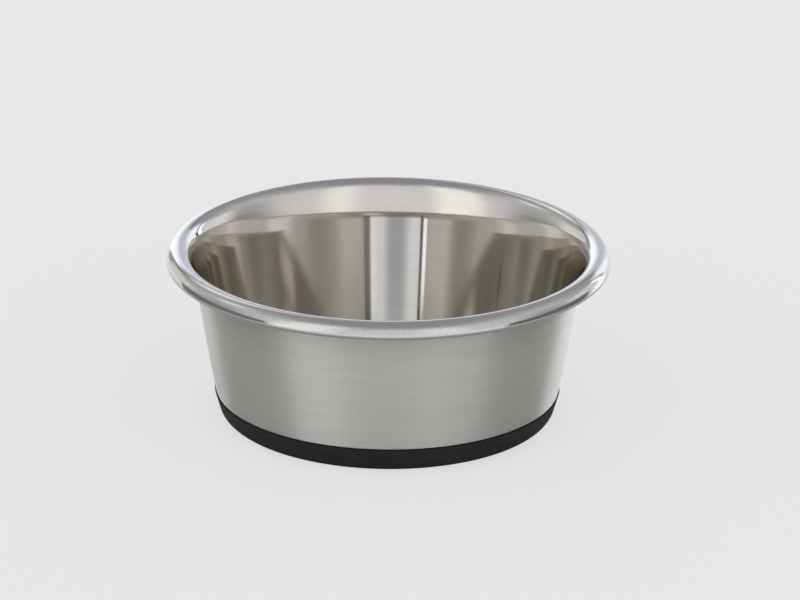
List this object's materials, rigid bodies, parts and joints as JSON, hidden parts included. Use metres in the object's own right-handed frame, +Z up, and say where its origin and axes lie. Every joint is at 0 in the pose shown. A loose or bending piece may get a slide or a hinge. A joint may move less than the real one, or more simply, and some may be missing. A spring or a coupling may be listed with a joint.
{
  "type": "dog bowl",
  "caption": "Round stainless feeding bowl with a tapered brushed wall, a polished inside, a rolled rim and a black rubber ring bonded round its foot.",
  "frame": {"origin": "middle of the foot, on the surface that the bowl stands on", "axes": "+Z up, along the axis that the bowl is round about; +X to the right in the picture; -Y towards the camera"},
  "size_m": [0.1706, 0.1706, 0.0672],
  "materials": {
    "stainless_sheet": "brushed round the outside of the wall, polished inside and on the rim",
    "black_rubber": "matt, as moulded",
    "adhesive": "cured film"
  },
  "bodies": {
    "root": {"bowl_shell": "stainless_sheet", "base_ring": "black_rubber", "bond_film": "adhesive"}
  },
  "joints": []
}
